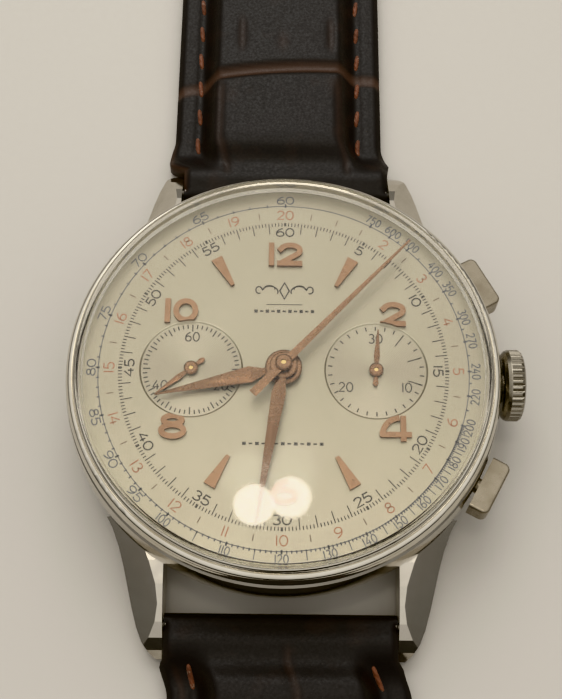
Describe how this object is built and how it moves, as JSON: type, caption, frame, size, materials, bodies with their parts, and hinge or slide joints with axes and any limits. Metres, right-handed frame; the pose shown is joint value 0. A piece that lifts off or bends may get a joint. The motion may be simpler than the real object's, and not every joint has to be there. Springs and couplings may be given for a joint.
{
  "type": "wrist chronograph",
  "caption": "Round steel wrist chronograph with two sub-dials, domed crystal, crown, pump pushers and a padded leather strap with a pin buckle.",
  "frame": {"origin": "centre of the case back's flat face", "axes": "+Z out of the dial, +Y to 12 o'clock along the strap, +X to 3 o'clock and the crown"},
  "size_m": [0.0407, 0.2471, 0.0125],
  "materials": {
    "steel_case": "polished",
    "steel_bezel": "polished",
    "crystal": "polished",
    "back_steel": "brushed",
    "rubber_seal": "matte",
    "crown_steel": "worn",
    "pusher_steel": "worn",
    "dial_silver": "satin",
    "rose_gold": "satin",
    "hand_copper": "polished",
    "plate_gilt": "grained",
    "movement_steel": "polished",
    "wheel_brass": "satin",
    "ruby": "polished",
    "spring_steel": "blued",
    "strap_leather": "padded, stitched",
    "keeper_leather": "smooth",
    "buckle_steel": "polished"
  },
  "bodies": {
    "case": {"case_middle": "steel_case", "bezel": "steel_bezel", "crystal": "crystal", "case_back": "back_steel", "back_gasket": "rubber_seal", "case_tubes": "crown_steel", "dial": "dial_silver", "applied_markers": "rose_gold", "movement_ring": "plate_gilt", "main_plate": "plate_gilt", "barrel_bridge": "plate_gilt", "train_bridge": "plate_gilt", "balance_cock": "plate_gilt", "pallet_bridge": "plate_gilt", "chronograph_bridge": "plate_gilt", "jewels": "ruby", "movement_screws": "movement_steel", "spring_bars": "buckle_steel"},
    "minute_body": {"minute_hand": "hand_copper", "cannon_pinion": "movement_steel", "centre_wheel": "wheel_brass"},
    "hour_body": {"hour_hand": "hand_copper", "hour_wheel": "wheel_brass"},
    "minute_wheel_body": {"minute_wheel": "wheel_brass"},
    "third_body": {"third_wheel": "wheel_brass"},
    "small_seconds_body": {"fourth_wheel": "wheel_brass", "small_seconds_hand": "hand_copper"},
    "escape_body": {"escape_wheel": "movement_steel"},
    "barrel_body": {"barrel_drum": "wheel_brass", "mainspring": "spring_steel"},
    "ratchet_body": {"barrel_arbor": "movement_steel", "ratchet_wheel": "movement_steel"},
    "crown_wheel_body": {"crown_wheel": "movement_steel"},
    "crown_slide_body": {"crown_gasket": "rubber_seal"},
    "crown_body": {"crown": "crown_steel", "winding_stem": "crown_steel"},
    "winding_body": {"winding_pinion": "movement_steel"},
    "setting_body": {"setting_lever": "movement_steel"},
    "click_body": {"click": "movement_steel"},
    "pallet_body": {"pallet_fork": "movement_steel"},
    "balance_body": {"balance_wheel": "wheel_brass", "hairspring": "spring_steel"},
    "chrono_body": {"chronograph_wheel": "wheel_brass", "chrono_seconds_hand": "hand_copper"},
    "counter_body": {"minute_counter_wheel": "wheel_brass", "minute_counter_hand": "hand_copper"},
    "pusher_top_body": {"pusher_top": "pusher_steel"},
    "pusher_bottom_body": {"pusher_bottom": "pusher_steel"},
    "operating_body": {"operating_lever": "movement_steel"},
    "hammer_body": {"return_hammer": "movement_steel"},
    "upper_strap_1": {"strap_upper_1": "strap_leather"},
    "upper_strap_2": {"strap_upper_2": "strap_leather"},
    "upper_strap_3": {"strap_upper_3": "strap_leather", "fixed_keeper": "keeper_leather"},
    "lower_strap_1": {"strap_lower_1": "strap_leather"},
    "lower_strap_2": {"strap_lower_2": "strap_leather"},
    "lower_strap_3": {"strap_lower_3": "strap_leather"},
    "buckle_body": {"buckle_frame": "buckle_steel"},
    "tongue_body": {"buckle_tongue": "buckle_steel"},
    "keeper_body": {"free_keeper": "keeper_leather"}
  },
  "joints": [
    {"name": "hands_turn", "type": "hinge", "parent": "case", "child": "minute_body", "pos_m": [0, 0, 0.009], "axis": [0, 0, -1], "continuous": true},
    {"name": "hour_turn", "type": "hinge", "parent": "case", "child": "hour_body", "pos_m": [0, 0, 0.009], "axis": [0, 0, -1], "continuous": true},
    {"name": "minute_wheel_turn", "type": "hinge", "parent": "case", "child": "minute_wheel_body", "pos_m": [0.0012, -0.00208, 0.007], "axis": [0, 0, -1], "continuous": true},
    {"name": "third_wheel_turn", "type": "hinge", "parent": "case", "child": "third_body", "pos_m": [-0.00448, -0.00302, 0.0044], "axis": [0, 0, -1], "continuous": true},
    {"name": "small_seconds_turn", "type": "hinge", "parent": "case", "child": "small_seconds_body", "pos_m": [-0.00805, 0, 0.0089], "axis": [0, 0, -1], "continuous": true},
    {"name": "escape_wheel_turn", "type": "hinge", "parent": "case", "child": "escape_body", "pos_m": [-0.00838, 0.00373, 0.0051], "axis": [0, 0, -1], "continuous": true},
    {"name": "barrel_turn", "type": "hinge", "parent": "case", "child": "barrel_body", "pos_m": [0.00406, 0.00421, 0.0047], "axis": [0, 0, -1], "continuous": true},
    {"name": "crown_pull", "type": "slide", "parent": "case", "child": "crown_slide_body", "axis": [1, 0, 0], "range_m": [0, 0.001]},
    {"name": "crown_turn", "type": "hinge", "parent": "crown_slide_body", "child": "crown_body", "pos_m": [0.02, 0, 0.0056], "axis": [1, 0, 0], "continuous": true},
    {"name": "winding_pinion_turn", "type": "hinge", "parent": "case", "child": "winding_body", "pos_m": [0.0128, 0, 0.0056], "axis": [1, 0, 0], "continuous": true},
    {"name": "crown_wheel_turn", "type": "hinge", "parent": "case", "child": "crown_wheel_body", "pos_m": [0.01074, 0.00131, 0.003], "axis": [0, 0, -1], "continuous": true},
    {"name": "ratchet_turn", "type": "hinge", "parent": "case", "child": "ratchet_body", "pos_m": [0.00406, 0.00421, 0.003], "axis": [0, 0, -1], "continuous": true},
    {"name": "setting_lever_swing", "type": "hinge", "parent": "case", "child": "setting_body", "pos_m": [0.0136, -0.0042, 0.0045], "axis": [0, 0, -1], "range_deg": [0, 18]},
    {"name": "click_swing", "type": "hinge", "parent": "case", "child": "click_body", "pos_m": [0.0014, 0.00992, 0.0029], "axis": [0, 0, 1], "range_deg": [0, 8], "stiffness_Nm_per_rad": 0.00001},
    {"name": "pallet_swing", "type": "hinge", "parent": "case", "child": "pallet_body", "pos_m": [-0.00711, 0.00593, 0.0052], "axis": [0, 0, 1], "range_deg": [-5, 5]},
    {"name": "balance_swing", "type": "hinge", "parent": "case", "child": "balance_body", "pos_m": [-0.00546, 0.00878, 0.0044], "axis": [0, 0, 1], "range_deg": [-270, 270], "stiffness_Nm_per_rad": 0.00000025},
    {"name": "chrono_seconds_turn", "type": "hinge", "parent": "case", "child": "chrono_body", "pos_m": [0, 0, 0.01], "axis": [0, 0, -1], "continuous": true},
    {"name": "minute_counter_turn", "type": "hinge", "parent": "case", "child": "counter_body", "pos_m": [0.00805, 0, 0.0089], "axis": [0, 0, -1], "continuous": true},
    {"name": "pusher_top_press", "type": "slide", "parent": "case", "child": "pusher_top_body", "axis": [-0.8788, -0.4772, 0], "range_m": [0, 0.0009], "stiffness_N_per_m": 1500, "springref_m": -0.0005},
    {"name": "pusher_bottom_press", "type": "slide", "parent": "case", "child": "pusher_bottom_body", "axis": [-0.8788, 0.4772, 0], "range_m": [0, 0.0009], "stiffness_N_per_m": 1500, "springref_m": -0.0005},
    {"name": "operating_lever_swing", "type": "hinge", "parent": "case", "child": "operating_body", "pos_m": [0.0095, 0.0093, 0.0025], "axis": [0, 0, 1], "range_deg": [-14.67, 0]},
    {"name": "return_hammer_swing", "type": "hinge", "parent": "case", "child": "hammer_body", "pos_m": [0.0095, -0.0093, 0.0025], "axis": [0, 0, 1], "range_deg": [0, 14.67]},
    {"name": "upper_strap_lug", "type": "hinge", "parent": "case", "child": "upper_strap_1", "pos_m": [0, 0.02105, 0.0025], "axis": [-1, 0, 0], "range_deg": [-20, 60]},
    {"name": "upper_strap_bend_1", "type": "hinge", "parent": "upper_strap_1", "child": "upper_strap_2", "pos_m": [0, 0.0471, 0], "axis": [-1, 0, 0], "range_deg": [0, 30]},
    {"name": "upper_strap_bend_2", "type": "hinge", "parent": "upper_strap_2", "child": "upper_strap_3", "pos_m": [0, 0.0711, 0], "axis": [-1, 0, 0], "range_deg": [0, 30]},
    {"name": "lower_strap_lug", "type": "hinge", "parent": "case", "child": "lower_strap_1", "pos_m": [0, -0.02105, 0.0025], "axis": [1, 0, 0], "range_deg": [-20, 60]},
    {"name": "lower_strap_bend_1", "type": "hinge", "parent": "lower_strap_1", "child": "lower_strap_2", "pos_m": [0, -0.0591, 0], "axis": [1, 0, 0], "range_deg": [0, 30]},
    {"name": "lower_strap_bend_2", "type": "hinge", "parent": "lower_strap_2", "child": "lower_strap_3", "pos_m": [0, -0.0971, 0], "axis": [1, 0, 0], "range_deg": [0, 30]},
    {"name": "buckle_swing", "type": "hinge", "parent": "upper_strap_3", "child": "buckle_body", "pos_m": [0, 0.09805, 0.0023], "axis": [1, 0, 0], "range_deg": [-30, 45]},
    {"name": "tongue_swing", "type": "hinge", "parent": "buckle_body", "child": "tongue_body", "pos_m": [0, 0.09805, 0.0023], "axis": [1, 0, 0], "range_deg": [0, 65]},
    {"name": "keeper_slide", "type": "slide", "parent": "upper_strap_3", "child": "keeper_body", "axis": [0, 1, 0], "range_m": [-0.005, 0.0045]}
  ],
  "couplings": [
    {"joint": "hour_turn", "follows": "hands_turn", "ratio": 0.083333},
    {"joint": "minute_wheel_turn", "follows": "hands_turn", "ratio": -0.33333},
    {"joint": "third_wheel_turn", "follows": "hands_turn", "ratio": -8},
    {"joint": "small_seconds_turn", "follows": "hands_turn", "ratio": 60},
    {"joint": "escape_wheel_turn", "follows": "hands_turn", "ratio": -600},
    {"joint": "barrel_turn", "follows": "hands_turn", "ratio": -0.15385},
    {"joint": "winding_pinion_turn", "follows": "crown_turn", "ratio": 1},
    {"joint": "crown_wheel_turn", "follows": "crown_turn", "ratio": 0.45161},
    {"joint": "ratchet_turn", "follows": "crown_turn", "ratio": -0.21212},
    {"joint": "setting_lever_swing", "follows": "crown_pull", "rad_per_m": 312.41},
    {"joint": "minute_counter_turn", "follows": "chrono_seconds_turn", "ratio": 0.033333},
    {"joint": "operating_lever_swing", "follows": "pusher_top_press", "rad_per_m": -274.74},
    {"joint": "return_hammer_swing", "follows": "pusher_bottom_press", "rad_per_m": 274.74},
    {"joint": "upper_strap_bend_2", "follows": "upper_strap_bend_1", "ratio": 1},
    {"joint": "lower_strap_bend_2", "follows": "lower_strap_bend_1", "ratio": 1}
  ]
}
